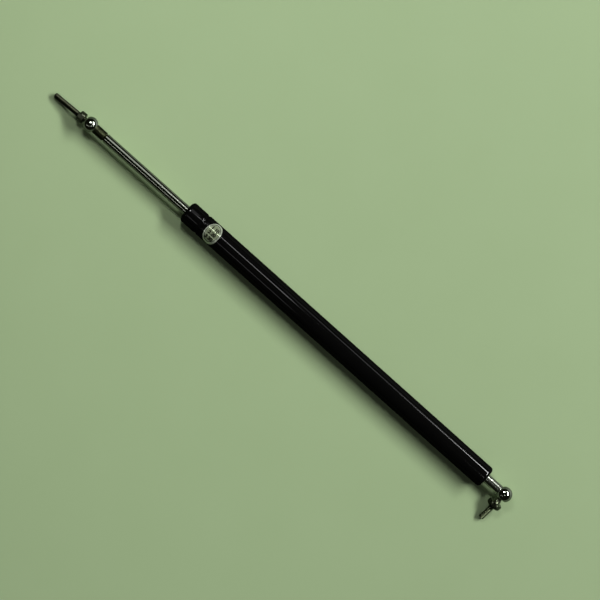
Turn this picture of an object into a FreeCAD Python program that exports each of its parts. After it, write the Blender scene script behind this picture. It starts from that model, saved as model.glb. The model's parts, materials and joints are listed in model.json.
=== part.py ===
"""Gas spring with a ball joint at each end, lying on a flat surface.

The tube lies along X with its closed base end towards -X and its rod towards +X. The base joint's
stud points sideways to +Y and the rod joint's stud carries on along +X. Both studs droop until
their tips touch the surface. Z points up, and the origin is on the surface, in the middle of the
space that the whole spring takes.

Lengths are in millimetres and angles in degrees.
"""

import FreeCAD, Part

import os
import re

import Sketcher

doc = FreeCAD.newDocument("gas_spring")


# The driving sizes: name, value and meaning
DRIVING = (
    # The pressure tube, with both ends rolled in and a bead rolled round it near the rod end
    ("tube_d", 23, "outer diameter of the tube"),
    ("tube_wall", 1.5, "wall of the tube"),
    ("tube_length", 398, "length of the tube over its rolled ends"),
    ("rod_end_corner", 3.8, "outer corner radius of the rolled end at the rod"),
    ("base_end_corner", 3.3, "outer corner radius of the rolled end at the base"),
    ("lip_bore_d", 14.5, "opening that each rolled end leaves"),
    ("bead_from_end", 20.6, "middle of the rolled bead from the rod end of the tube"),
    ("bead_depth", 0.7, "depth of the rolled bead"),
    ("bead_wheel", 2.0, "radius at the bottom of the bead"),
    ("bead_shoulder", 3.5, "radius at the two shoulders of the bead"),
    # The oval sticker
    ("label_from_end", 34.5, "middle of the sticker from the rod end of the tube"),
    ("label_length", 16.5, "size of the sticker along the tube"),
    ("label_width", 21.8, "size of the sticker across the tube, seen from above"),
    ("label_thick", 0.12, "thickness of the sticker"),
    ("label_turn", 3.8, "how far the sticker is turned round the tube from straight up"),
    # The rod
    ("rod_d", 10, "diameter of the rod"),
    ("rod_exposed", 108, "bare rod between the tube and the rod joint when fully out"),
    ("rod_bevel", 0.6, "bevel on the rod's shoulders"),
    # The tenons that carry the joints and the piston
    ("tenon_d", 6, "diameter of the threaded tenons under the two joints"),
    ("tenon_length", 9, "length of the threaded tenons under the two joints"),
    ("tenon_bevel", 0.6, "bevel on the tip of each tenon"),
    ("piston_tenon_d", 6, "diameter of the rod's tenon in the piston"),
    ("piston_tenon_spare", 1.2, "how far that tenon stands out of the nut"),
    # Clearances
    ("fit_gap", 0.05, "radial gap between pieces that are pushed or screwed together"),
    ("run_gap", 0.03, "radial gap between the rod and what it slides in"),
    ("seal_gap", 0.02, "gap between a sealing ring and what it seals on"),
    ("stop_gap", 0.1, "gap at the bead where the piston stops when the rod is fully out"),
    ("bore_spare", 1, "depth of a joint's bore past the tip of its tenon"),
    # The packing round the rod, from the gas side outwards
    ("backup_thick", 1.6, "thickness of the washer behind the seal"),
    ("backup_bore_gap", 0.25, "radial gap between that washer and the rod"),
    ("seal_length", 5.5, "length of the lip seal"),
    ("seal_lip", 1, "thickness of the lip seal's two lips at their tips"),
    ("seal_relief", 0.5, "how far the seal's back stands off the rod and the tube"),
    ("seal_land", 1.2, "length of each lip that touches"),
    ("seal_valley", 3.2, "depth of the valley between the seal's lips"),
    ("seal_valley_floor", 1.4, "width of the floor of that valley"),
    ("guide_bevel", 0.5, "bevel on the guide bush"),
    ("wiper_d", 14, "diameter of the wiper ring's seat in the guide bush"),
    ("wiper_seat_depth", 2.6, "depth of that seat"),
    ("wiper_body", 2.2, "length of the wiper's body"),
    ("wiper_lip", 1.2, "how far the wiper's lip stands out of its body"),
    ("wiper_lip_thick", 0.6, "thickness of the wiper's lip at its tip"),
    # The piston on the inner end of the rod
    ("stop_washer_d", 19.4, "diameter of the washer that meets the bead"),
    ("stop_washer_thick", 2, "thickness of the washer that meets the bead"),
    ("piston_length", 8, "length of the piston"),
    ("piston_gap", 0.15, "radial gap between the piston and the tube"),
    ("piston_bevel", 0.6, "bevel on the piston's two rims"),
    ("ring_wide", 2, "width of the piston ring along the tube"),
    ("ring_thick", 1.5, "thickness of the piston ring from inside to outside"),
    ("ring_float", 0.4, "play of the piston ring in its groove along the tube"),
    ("ring_back_gap", 0.2, "gap between the piston ring and the floor of its groove"),
    ("ring_slit", 0.6, "slit that lets the piston ring spring out"),
    ("ring_run_gap", 0.03, "radial gap between the piston ring and the tube"),
    ("bleed_d", 1.6, "diameter of the holes through the piston"),
    ("bleed_pcd", 11.6, "circle that the holes through the piston lie on"),
    ("throttle_d", 15, "diameter of the throttle disc"),
    ("throttle_thick", 0.5, "thickness of the throttle disc"),
    ("notch_wide", 3.2, "width of the notches in the throttle disc and the stop washer"),
    ("notch_from_axis", 4.9, "where those notches start from the axis"),
    ("nut_flats", 10, "distance across the flats of the piston nut"),
    ("nut_thick", 5, "thickness of the piston nut"),
    # The plug that closes the base end
    ("plug_length", 12, "length of the plug inside the rolled end"),
    ("plug_bevel", 1, "bevel on the plug's inner rim"),
    ("o_ring_thick", 2.4, "section of the ring that seals the plug"),
    ("o_ring_play", 0.8, "play of that ring in its groove along the tube"),
    ("o_ring_from_face", 6.5, "middle of that groove from the plug's shoulder"),
    # Both ball joints, from the ball outwards
    ("ball_d", 10, "diameter of the ball"),
    ("ball_gap", 0.04, "gap inside and outside the liner, in which the ball moves"),
    ("liner_thick", 0.5, "thickness of the liner round the ball"),
    ("liner_opening", 48, "angle between the stud's axis and the liner's edge"),
    ("seat_thick", 0.97, "thickness of the seat at the ball's equator"),
    ("seat_gap", 0.05, "gap between the seat and the housing, in which the seat turns"),
    ("seat_split", 0.3, "gap between the seat cup and the seat ring"),
    ("seat_ring_height", 3.4, "top of the seat ring above the middle of the ball"),
    ("housing_wall", 1.4, "wall of the round housing"),
    ("lip_step", 0.3, "how far the inside of the rolled lip stands outside the pocket"),
    ("mouth_d", 9.9, "diameter of the mouth in the housing"),
    ("mouth_bevel", 0.3, "bevel on the edge of the mouth"),
    ("shank_d", 10, "diameter of a housing's shank"),
    ("shank_bevel", 0.5, "bevel on the end of the base housing's shank"),
    ("rod_shank_bevel", 1.3, "bevel on the end of the rod housing's shank"),
    ("shank_fillet", 0.6, "radius between a shank and its round housing"),
    ("base_reach", 24.2, "middle of the base ball from the base end of the tube"),
    ("rod_reach", 19.8, "middle of the rod ball from the end of its shank"),
    ("swing_limit", 18, "how far a stud swings from the middle before its neck meets the mouth"),
    # Both ball studs
    ("neck_d", 5, "diameter of a stud's neck in the mouth"),
    ("thread_d", 6, "diameter of the threaded length of a stud"),
    ("tip_bevel", 0.8, "bevel on the tip of a stud"),
    ("hex_bevel_share", 0.97, "where a hexagon's corner bevel starts, as a share of its flats"),
    ("hex_bevel_slope", 30, "slope of that bevel"),
    # The base stud
    ("base_neck_free", 7.7, "where the base stud's neck starts to widen, from the ball"),
    ("base_collar_at", 8.8, "where the base stud's collar starts, from the ball"),
    ("base_collar_d", 6.6, "diameter of the base stud's collar"),
    ("base_hex_at", 11.6, "where the base stud's hexagon starts, from the ball"),
    ("base_hex_length", 5.4, "length of the base stud's hexagon"),
    ("base_hex_flats", 13, "distance across the flats of the base stud's hexagon"),
    ("base_thread_length", 17, "length of the base stud's thread"),
    ("base_lean", 3, "how far the base stud leans towards the tube"),
    # The rod stud
    ("rod_hex_at", 8.2, "where the rod stud's hexagon starts, from the ball"),
    ("rod_hex_length", 6.6, "length of the rod stud's hexagon"),
    ("rod_hex_flats", 10, "distance across the flats of the rod stud's hexagon"),
    ("rod_thread_length", 32.2, "length of the rod stud's thread"),
    ("rod_lean", 1.8, "how far the rod stud leans towards +Y"),
)

# What follows from the driving sizes: name and formula
WORKED = (
    ("tube_r", "tube_d / 2"),
    ("bore_r", "tube_r - tube_wall"),
    ("inner_r", "bore_r - fit_gap"),
    ("rod_r", "rod_d / 2"),
    ("run_r", "rod_r + run_gap"),
    ("tenon_r", "tenon_d / 2"),
    ("piston_tenon_r", "piston_tenon_d / 2"),
    ("piston_bore_r", "piston_tenon_r + fit_gap"),
    ("lip_bore_r", "lip_bore_d / 2"),
    # The bead is three arcs that meet smoothly, and the wall follows it inside
    ("bead_x", "tube_length - bead_from_end"),
    ("bead_radii", "bead_wheel + bead_shoulder"),
    ("bead_half", "sqrt(2 * bead_radii * bead_depth - bead_depth ^ 2)"),
    ("bead_mix", "bead_shoulder / bead_radii"),
    ("bead_in_mix", "(bead_shoulder - tube_wall) / bead_radii"),
    ("bead_rise", "bead_radii - bead_depth"),
    # The packing fills the room between the bead and the rolled rod end
    ("backup_x", "bead_x + bead_half"),
    ("seal_x", "backup_x + backup_thick"),
    ("guide_x", "seal_x + seal_length"),
    ("guide_length", "tube_length - tube_wall - fit_gap - guide_x"),
    ("guide_corner", "rod_end_corner - tube_wall - fit_gap"),
    ("wiper_seat_r", "wiper_d / 2"),
    ("wiper_x", "guide_x + guide_length - wiper_seat_depth"),
    # The stop washer's rim meets the inside of the bead
    ("stop_drop", "tube_r + bead_wheel - bead_depth - stop_washer_d / 2"),
    ("stop_x", "bead_x - sqrt((bead_wheel + tube_wall) ^ 2 - stop_drop ^ 2) - stop_gap"),
    ("piston_x", "stop_x - stop_washer_thick - piston_length"),
    ("throttle_x", "piston_x - throttle_thick"),
    ("nut_x", "throttle_x - nut_thick"),
    ("piston_tenon_length", "stop_x - nut_x + piston_tenon_spare"),
    ("rod_length", "tube_length - stop_x + rod_exposed"),
    ("piston_r", "bore_r - piston_gap"),
    ("ring_out_r", "bore_r - ring_run_gap"),
    ("ring_in_r", "ring_out_r - ring_thick"),
    ("ring_x", "piston_x + (piston_length - ring_wide) / 2"),
    ("ring_groove_r", "ring_in_r - ring_back_gap"),
    ("ring_groove_half", "(ring_wide + ring_float) / 2"),
    # The plug's shoulder rests on the inside of the rolled base end
    ("plug_face", "tube_wall + fit_gap"),
    ("plug_corner", "base_end_corner - plug_face"),
    ("plug_end", "plug_face + plug_length"),
    ("o_ring_x", "plug_face + o_ring_from_face"),
    ("o_ring_r", "bore_r - seal_gap - o_ring_thick / 2"),
    ("o_groove_half", "(o_ring_thick + o_ring_play) / 2"),
    ("o_groove_r", "o_ring_r - o_ring_thick / 2 - seal_gap"),
    # The ball joints, from the ball outwards
    ("ball_r", "ball_d / 2"),
    ("liner_in_r", "ball_r + ball_gap"),
    ("liner_out_r", "liner_in_r + liner_thick"),
    ("seat_in_r", "liner_out_r + ball_gap"),
    ("seat_out_r", "seat_in_r + seat_thick"),
    ("pocket_r", "seat_out_r + seat_gap"),
    ("housing_r", "pocket_r + housing_wall"),
    ("lip_in_r", "pocket_r + lip_step"),
    ("mouth_r", "mouth_d / 2"),
    ("rim_h", "sqrt(housing_r ^ 2 - mouth_r ^ 2)"),
    ("shank_r", "shank_d / 2"),
    ("shank_root", "sqrt(housing_r ^ 2 - shank_r ^ 2)"),
    ("neck_r", "neck_d / 2"),
    ("neck_root", "sqrt(ball_r ^ 2 - neck_r ^ 2)"),
    ("thread_r", "thread_d / 2"),
    # Each stud droops until the edge of its tip touches the surface, or as far as it swings
    ("base_stud_length", "base_hex_at + base_hex_length + base_thread_length"),
    ("rod_stud_length", "rod_hex_at + rod_hex_length + rod_thread_length"),
    ("base_edge", "base_stud_length - tip_bevel"),
    ("rod_edge", "rod_stud_length - tip_bevel"),
    ("base_floor", "asin(tube_r / sqrt(base_edge ^ 2 + thread_r ^ 2)) - atan(thread_r / base_edge)"),
    ("rod_floor", "asin(tube_r / sqrt(rod_edge ^ 2 + thread_r ^ 2)) - atan(thread_r / rod_edge)"),
    ("base_droop", "min(base_floor; acos(cos(swing_limit) / cos(base_lean)))"),
    ("rod_droop", "min(rod_floor; acos(cos(swing_limit) / cos(rod_lean)))"),
    # Where everything lies, with the origin in the middle of the whole
    ("tip_r", "thread_r - tip_bevel"),
    ("base_along", "cos(base_droop) * cos(base_lean)"),
    ("rod_along", "cos(rod_droop) * cos(rod_lean)"),
    ("base_tip_reach", "base_stud_length * base_along + tip_r * sqrt(1 - base_along ^ 2)"),
    ("rod_tip_reach", "rod_stud_length * rod_along + tip_r * sqrt(1 - rod_along ^ 2)"),
    ("ball_span", "base_reach + tube_length + rod_exposed + rod_reach"),
    ("base_ball_x", "(housing_r - ball_span - rod_tip_reach) / 2"),
    ("rod_ball_x", "base_ball_x + ball_span"),
    ("tube_x", "base_ball_x + base_reach"),
    ("axis_y", "(tube_r - base_tip_reach) / 2"),
    ("axis_z", "tube_r"),
)

SHEET_OF = {name: "Sizes" for name, *_ in DRIVING}
SHEET_OF.update({name: "Worked" for name, _ in WORKED})


def on_sheets(formula):
    """The formula with each size's name led by the name of its sheet."""
    return re.sub(
        r"[a-z][a-z_]*",
        lambda word: f"{SHEET_OF[word[0]]}.{word[0]}" if word[0] in SHEET_OF else word[0],
        formula,
    )


def value(formula):
    """What a formula on the sheets comes to, as a plain number."""
    result = worked.evalExpression(on_sheets(formula))
    return float(getattr(result, "Value", result))


def new_sheet(name, rows):
    """A sheet with a name, a value and a meaning in each row."""
    sheet = doc.addObject("Spreadsheet::Sheet", name)
    for row, cells in enumerate(rows, 1):
        for column, text in zip("ABC", cells):
            sheet.set(f"{column}{row}", text)
        sheet.setAlias(f"B{row}", cells[0])
    return sheet


sizes = new_sheet("Sizes", [(name, str(size), meaning) for name, size, meaning in DRIVING])
worked = new_sheet("Worked", [(name, "=" + on_sheets(formula)) for name, formula in WORKED])
doc.recompute()


# Drawing and placing

SAME = 0.001  # sizes or places that differ by less than this are the same

parts = []


def sub_part(piece, name):
    """Names a finished sub-part and keeps it for the export."""
    piece.Label = name
    parts.append(piece)
    return piece


def place(piece, x, y="axis_y", z="axis_z", yaw="0", pitch="0", roll="0"):
    """Puts a piece where the formulas say. Yaw turns about Z, pitch about Y and roll about X."""
    at = f"vector({x}; {y}; {z})"
    turned = f"rotation({yaw}; {pitch}; {roll})"
    piece.setExpression("Placement", on_sheets(f"placement({at}; {turned})"))
    return piece


def in_tube(piece, x):
    """Puts a piece on the tube's axis, x from the tube's base end."""
    return place(piece, f"tube_x + {x}")


def new_body(name):
    return sub_part(doc.addObject("PartDesign::Body", name), name)


def new_sketch(body, name, plane, offset="0"):
    """An empty sketch on one of the body's own planes, or that far in front of it."""
    sketch = body.newObject("Sketcher::SketchObject", name)
    plane = next(one for one in body.Origin.OriginFeatures if one.Role == plane)
    sketch.AttachmentSupport = [(plane, "")]
    sketch.MapMode = "FlatFace"
    if offset != "0":
        sketch.setExpression("AttachmentOffset.Base.z", on_sheets(offset))
    return sketch


def bind(sketch, kind, where, formula):
    """One size of a sketch, bound to the sheets. A size of 0 puts the point on the other axis."""
    if formula == "0" and kind in ("DistanceX", "DistanceY"):
        axis = -2 if kind == "DistanceX" else -1
        sketch.addConstraint(Sketcher.Constraint("PointOnObject", *where[-2:], axis))
        return
    number = sketch.addConstraint(Sketcher.Constraint(kind, *where, value(formula)))
    sketch.setExpression(f"Constraints[{number}]", on_sheets(formula))


def arc_centre(start, end, radius, left):
    """The middle of an arc of less than half a circle from start to end."""
    chord = end - start
    across = FreeCAD.Vector(-chord.y, chord.x, 0).normalize() * (1 if left else -1)
    return start + chord / 2 + across * (radius ** 2 - (chord.Length / 2) ** 2) ** 0.5


def outline(body, name, corners, plane="XY_Plane", axis="H_Axis", offset="0"):
    """A closed outline through corners, each (along the axis, away from the axis).

    A corner may add (radius, turn): it is then reached by an arc of less than half a circle
    that bends to the "left" or the "right", seen with the axis pointing right.
    """
    sketch = new_sketch(body, name, plane, offset)
    upright = axis == "V_Axis"
    spots = []
    for along, away, *_ in corners:
        spot = (value(along), value(away))
        spots.append(FreeCAD.Vector(*(spot[::-1] if upright else spot), 0))
    flat = FreeCAD.Vector(0, 0, 1)
    ends = []
    for number, (_, _, *bend) in enumerate(corners):
        start, end = spots[number - 1], spots[number]
        if not bend:
            sketch.addGeometry(Part.LineSegment(start, end), False)
            ends.append((1, 2))
            continue
        radius, turn = bend
        left = (turn == "left") != upright
        circle = Part.Circle(arc_centre(start, end, value(radius), left), flat, value(radius))
        first, last = (start, end) if left else (end, start)
        arc = Part.ArcOfCircle(circle, circle.parameter(first), circle.parameter(last))
        sketch.addGeometry(arc, False)
        ends.append((1, 2) if left else (2, 1))
    for number in range(len(corners)):
        after = (number + 1) % len(corners)
        meeting = (number, ends[number][1], after, ends[after][0])
        sketch.addConstraint(Sketcher.Constraint("Coincident", *meeting))
    for number, (along, away, *bend) in enumerate(corners):
        corner = (-1, 1, number, ends[number][1])
        bind(sketch, "DistanceX", corner, away if upright else along)
        bind(sketch, "DistanceY", corner, along if upright else away)
        if bend:
            bind(sketch, "Radius", (number,), bend[0])
    return sketch


def turned(body, name, corners, axis="H_Axis", cut=False):
    """An outline on the body's XY plane, turned all the way round the axis."""
    kind = "PartDesign::Groove" if cut else "PartDesign::Revolution"
    sketch = outline(body, name + "_outline", corners, axis=axis)
    feature = body.newObject(kind, name)
    feature.Profile = sketch
    feature.ReferenceAxis = (sketch, [axis])
    feature.Angle = 360
    body.Tip = feature
    doc.recompute()
    return feature


def extruded(body, name, sketch, length=None, cut=False, forwards=True):
    """A sketch pushed out along its normal. A cut with no length goes all the way through."""
    feature = body.newObject("PartDesign::Pocket" if cut else "PartDesign::Pad", name)
    feature.Profile = sketch
    if length is None:
        feature.Type = "ThroughAll"
        feature.Midplane = True
    else:
        feature.setExpression("Length", on_sheets(length))
        feature.Reversed = forwards == cut
    body.Tip = feature
    doc.recompute()
    return feature


def round_hole(body, name, diameter, at="0", depth=None, forwards=True, off_axis="0"):
    """A round hole along X that starts at a distance from the body's origin."""
    sketch = new_sketch(body, name + "_outline", "YZ_Plane", at)
    circle = Part.Circle(FreeCAD.Vector(value(off_axis), 0, 0), FreeCAD.Vector(0, 0, 1), 1)
    sketch.addGeometry(circle, False)
    bind(sketch, "DistanceX", (-1, 1, 0, 3), off_axis)
    bind(sketch, "DistanceY", (-1, 1, 0, 3), "0")
    bind(sketch, "Diameter", (0,), diameter)
    return extruded(body, name, sketch, depth, cut=True, forwards=forwards)


def hexagon(body, name, flats, at, length):
    """A hexagonal length along X with one pair of flats facing up and down."""
    half = f"{flats} / 2"
    wide = f"{flats} / (2 * cos(30))"
    corners = [
        (wide, "0"),
        (f"{wide} / 2", half),
        (f"-{wide} / 2", half),
        (f"-{wide}", "0"),
        (f"-{wide} / 2", f"-{half}"),
        (f"{wide} / 2", f"-{half}"),
    ]
    sketch = outline(body, name + "_outline", corners, "YZ_Plane", offset=at)
    return extruded(body, name, sketch, length)


def bevel_hexagon(body, name, flats, at, inwards):
    """Turns the six corners of a hexagon's end face down to a cone."""
    start = f"{flats} / 2 * hex_bevel_share"
    rise = f"({flats} - {start}) * tan(hex_bevel_slope)"
    corners = [(at, start), (f"{at} {inwards} {rise}", flats), (at, flats)]
    if inwards == "-":
        corners.reverse()
    return turned(body, name, corners, cut=True)


def around(body, name, feature, count):
    """Repeats a cut evenly round the X axis."""
    pattern = body.newObject("PartDesign::PolarPattern", name)
    pattern.Originals = [feature]
    pattern.Axis = (feature.Profile[0], ["N_Axis"])
    pattern.Angle = 360
    pattern.Occurrences = count
    body.Tip = pattern
    doc.recompute()
    return pattern


def round_edge(body, name, x, radius, size):
    """Rounds the circular edge round X at that place and radius."""
    base = body.Tip
    places = (value(x), value(radius))
    names = []
    for number, edge in enumerate(base.Shape.Edges, 1):
        if edge.Degenerated or not isinstance(edge.Curve, Part.Circle):
            continue
        offsets = (edge.Curve.Center.x - places[0], edge.Curve.Radius - places[1])
        if abs(edge.Curve.Axis.x) > 1 - SAME and max(map(abs, offsets)) < SAME:
            names.append(f"Edge{number}")
    feature = body.newObject("PartDesign::Fillet", name)
    feature.Base = (base, names)
    feature.setExpression("Radius", on_sheets(size))
    body.Tip = feature
    doc.recompute()
    return feature


# The tube and what is fixed in it

def pressure_tube():
    """A drawn tube whose two ends are rolled in, with a bead that holds the packing."""
    in_shoulder = "(tube_r - bead_shoulder + bead_rise * bead_in_mix)"
    out_shoulder = "(tube_r - bead_shoulder + bead_rise * bead_mix)"
    out_half = "bead_half * (1 - bead_mix)"
    in_half = "bead_half * (1 - bead_in_mix)"
    base_flat = "tube_r - base_end_corner"
    rod_flat = "tube_r - rod_end_corner"
    in_bend = "bead_shoulder - tube_wall"
    body = new_body("pressure_tube")
    turned(body, "rolled_wall", [
        ("0", "lip_bore_r"),
        ("0", base_flat),
        ("base_end_corner", "tube_r", "base_end_corner", "right"),
        ("bead_x - bead_half", "tube_r"),
        (f"bead_x - {out_half}", out_shoulder, "bead_shoulder", "right"),
        (f"bead_x + {out_half}", out_shoulder, "bead_wheel", "left"),
        ("bead_x + bead_half", "tube_r", "bead_shoulder", "right"),
        ("tube_length - rod_end_corner", "tube_r"),
        ("tube_length", rod_flat, "rod_end_corner", "right"),
        ("tube_length", "lip_bore_r"),
        ("tube_length - tube_wall", "lip_bore_r"),
        ("tube_length - tube_wall", rod_flat),
        ("tube_length - rod_end_corner", "bore_r", "rod_end_corner - tube_wall", "left"),
        ("bead_x + bead_half", "bore_r"),
        (f"bead_x + {in_half}", in_shoulder, in_bend, "left"),
        (f"bead_x - {in_half}", in_shoulder, "bead_wheel + tube_wall", "right"),
        ("bead_x - bead_half", "bore_r", in_bend, "left"),
        ("base_end_corner", "bore_r"),
        ("tube_wall", base_flat, "base_end_corner - tube_wall", "left"),
        ("tube_wall", "lip_bore_r"),
    ])
    return in_tube(body, "0")


def tube_label():
    """A thin oval sticker that follows the tube's round top."""
    shells = []
    for name, radius in (("label_outside", "tube_r + label_thick"), ("label_inside", "tube_r")):
        shell = doc.addObject("Part::Cylinder", name)
        shell.setExpression("Radius", on_sheets(radius))
        shell.setExpression("Height", on_sheets("label_length * 2"))
        shell.setExpression("Placement.Base.x", on_sheets("-label_length"))
        shell.Placement.Rotation = FreeCAD.Rotation(FreeCAD.Vector(0, 1, 0), 90)
        shells.append(shell)
    skin = doc.addObject("Part::Cut", "label_skin")
    skin.Base, skin.Tool = shells
    oval = doc.addObject("Part::Ellipse", "label_oval")
    oval.setExpression("MajorRadius", on_sheets("label_width / 2"))
    oval.setExpression("MinorRadius", on_sheets("label_length / 2"))
    oval.Placement.Rotation = FreeCAD.Rotation(FreeCAD.Vector(0, 0, 1), 90)
    cutter = doc.addObject("Part::Extrusion", "label_cutter")
    cutter.Base = oval
    cutter.Dir = FreeCAD.Vector(0, 0, 1)
    cutter.Solid = True
    cutter.setExpression("LengthFwd", on_sheets("tube_d"))
    label = sub_part(doc.addObject("Part::Common", "tube_label"), "tube_label")
    label.Base = skin
    label.Tool = cutter
    return place(label, "tube_x + tube_length - label_from_end", roll="-label_turn")


def end_plug():
    """A turned plug behind the rolled base end, with the tenon that carries the base joint."""
    body = new_body("end_plug")
    turned(body, "plug", [
        ("-tenon_length", "0"),
        ("-tenon_length", "tenon_r - tenon_bevel"),
        ("tenon_bevel - tenon_length", "tenon_r"),
        ("0", "tenon_r"),
        ("0", "lip_bore_r - fit_gap"),
        ("plug_face", "lip_bore_r - fit_gap"),
        ("plug_face", "tube_r - base_end_corner"),
        ("base_end_corner", "inner_r", "plug_corner", "right"),
        ("o_ring_x - o_groove_half", "inner_r"),
        ("o_ring_x - o_groove_half", "o_groove_r"),
        ("o_ring_x + o_groove_half", "o_groove_r"),
        ("o_ring_x + o_groove_half", "inner_r"),
        ("plug_end - plug_bevel", "inner_r"),
        ("plug_end", "inner_r - plug_bevel"),
        ("plug_end", "0"),
    ])
    return in_tube(body, "0")


def plug_o_ring():
    ring = sub_part(doc.addObject("Part::Torus", "plug_o_ring"), "plug_o_ring")
    ring.setExpression("Radius1", on_sheets("o_ring_r"))
    ring.setExpression("Radius2", on_sheets("o_ring_thick / 2"))
    return place(ring, "tube_x + o_ring_x", pitch="90")


def backup_washer():
    """A flat washer between the bead and the seal."""
    body = new_body("backup_washer")
    turned(body, "washer", [
        ("0", "rod_r + backup_bore_gap"),
        ("0", "inner_r"),
        ("backup_thick", "inner_r"),
        ("backup_thick", "rod_r + backup_bore_gap"),
    ])
    return in_tube(body, "backup_x")


def rod_seal():
    """A lip seal: the gas pushes one lip on to the rod and the other on to the tube."""
    middle = "(rod_r + bore_r) / 2"
    body = new_body("rod_seal")
    turned(body, "lips", [
        ("0", "run_r"),
        ("0", "run_r + seal_lip"),
        ("seal_valley", f"{middle} - seal_valley_floor / 2"),
        ("seal_valley", f"{middle} + seal_valley_floor / 2"),
        ("0", "bore_r - seal_gap - seal_lip"),
        ("0", "bore_r - seal_gap"),
        ("seal_land", "bore_r - seal_gap"),
        ("seal_land + seal_relief", "bore_r - seal_relief"),
        ("seal_length", "bore_r - seal_relief"),
        ("seal_length", "rod_r + seal_relief"),
        ("seal_land + seal_relief", "rod_r + seal_relief"),
        ("seal_land", "run_r"),
    ])
    return in_tube(body, "seal_x")


def guide_bush():
    """The bush that guides the rod, with a seat for the wiper and a round shoulder."""
    body = new_body("guide_bush")
    turned(body, "bush", [
        ("0", "run_r + guide_bevel"),
        ("0", "inner_r - guide_bevel"),
        ("guide_bevel", "inner_r"),
        ("guide_length - guide_corner", "inner_r"),
        ("guide_length", "tube_r - rod_end_corner", "guide_corner", "right"),
        ("guide_length", "wiper_seat_r"),
        ("guide_length - wiper_seat_depth", "wiper_seat_r"),
        ("guide_length - wiper_seat_depth", "run_r"),
        ("guide_bevel", "run_r"),
    ])
    return in_tube(body, "guide_x")


def rod_wiper():
    """A rubber ring whose lip keeps dirt off the rod."""
    body = new_body("rod_wiper")
    turned(body, "ring", [
        ("0", "run_r + wiper_lip_thick"),
        ("0", "wiper_seat_r - fit_gap"),
        ("wiper_body", "wiper_seat_r - fit_gap"),
        ("wiper_body", "run_r + 2 * wiper_lip_thick"),
        ("wiper_body + wiper_lip", "run_r + wiper_lip_thick"),
        ("wiper_body + wiper_lip", "run_r"),
        ("wiper_body", "run_r"),
    ])
    return in_tube(body, "wiper_x")


# The rod and the piston

def piston_rod():
    """The ground rod, with a tenon for the piston inside and one for the joint outside."""
    body = new_body("piston_rod")
    turned(body, "rod", [
        ("-piston_tenon_length", "0"),
        ("-piston_tenon_length", "piston_tenon_r - tenon_bevel"),
        ("tenon_bevel - piston_tenon_length", "piston_tenon_r"),
        ("0", "piston_tenon_r"),
        ("0", "rod_r - rod_bevel"),
        ("rod_bevel", "rod_r"),
        ("rod_length - rod_bevel", "rod_r"),
        ("rod_length", "rod_r - rod_bevel"),
        ("rod_length", "tenon_r"),
        ("rod_length + tenon_length - tenon_bevel", "tenon_r"),
        ("rod_length + tenon_length", "tenon_r - tenon_bevel"),
        ("rod_length + tenon_length", "0"),
    ])
    return in_tube(body, "stop_x")


def notches(body, radius):
    """Three notches in a washer's rim that leave the piston's holes open."""
    sketch = outline(body, "notch_outline", [
        ("-notch_wide / 2", "notch_from_axis"),
        ("notch_wide / 2", "notch_from_axis"),
        ("notch_wide / 2", f"{radius} + notch_wide"),
        ("-notch_wide / 2", f"{radius} + notch_wide"),
    ], "YZ_Plane")
    return around(body, "notches", extruded(body, "notch", sketch, cut=True), 3)


def stop_washer():
    """The washer that meets the bead when the rod is fully out."""
    body = new_body("stop_washer")
    turned(body, "washer", [
        ("0", "piston_bore_r"),
        ("0", "stop_washer_d / 2"),
        ("stop_washer_thick", "stop_washer_d / 2"),
        ("stop_washer_thick", "piston_bore_r"),
    ])
    notches(body, "stop_washer_d / 2")
    return in_tube(body, "stop_x - stop_washer_thick")


def piston():
    """The piston, with a groove for its ring and holes that let the gas past."""
    half = "piston_length / 2"
    body = new_body("piston")
    turned(body, "core", [
        ("0", "piston_bore_r"),
        ("0", "piston_r - piston_bevel"),
        ("piston_bevel", "piston_r"),
        (f"{half} - ring_groove_half", "piston_r"),
        (f"{half} - ring_groove_half", "ring_groove_r"),
        (f"{half} + ring_groove_half", "ring_groove_r"),
        (f"{half} + ring_groove_half", "piston_r"),
        ("piston_length - piston_bevel", "piston_r"),
        ("piston_length", "piston_r - piston_bevel"),
        ("piston_length", "piston_bore_r"),
    ])
    hole = round_hole(body, "bleed_hole", "bleed_d", off_axis="bleed_pcd / 2")
    around(body, "bleed_holes", hole, 3)
    return in_tube(body, "piston_x")


def piston_ring():
    """The slit ring that runs on the tube. The piston can turn inside it."""
    body = new_body("piston_ring")
    turned(body, "ring", [
        ("0", "ring_in_r"),
        ("0", "ring_out_r"),
        ("ring_wide", "ring_out_r"),
        ("ring_wide", "ring_in_r"),
    ])
    sketch = outline(body, "slit_outline", [
        ("-ring_slit / 2", "ring_in_r / 2"),
        ("ring_slit / 2", "ring_in_r / 2"),
        ("ring_slit / 2", "tube_r"),
        ("-ring_slit / 2", "tube_r"),
    ], "YZ_Plane")
    extruded(body, "slit", sketch, cut=True)
    return in_tube(body, "ring_x")


def throttle_disc():
    """A thin disc under the piston's holes that slows the rod."""
    body = new_body("throttle_disc")
    turned(body, "disc", [
        ("0", "piston_bore_r"),
        ("0", "throttle_d / 2"),
        ("throttle_thick", "throttle_d / 2"),
        ("throttle_thick", "piston_bore_r"),
    ])
    notches(body, "throttle_d / 2")
    return in_tube(body, "throttle_x")


def piston_nut():
    """The hexagon nut that holds the piston on the rod."""
    body = new_body("piston_nut")
    hexagon(body, "hexagon", "nut_flats", "0", "nut_thick")
    bevel_hexagon(body, "outer_bevel", "nut_flats", "0", "+")
    bevel_hexagon(body, "inner_bevel", "nut_flats", "nut_thick", "-")
    round_hole(body, "bore", "piston_bore_r * 2")
    return in_tube(body, "nut_x")


# The ball joints. Each piece is drawn about the middle of its ball

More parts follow.
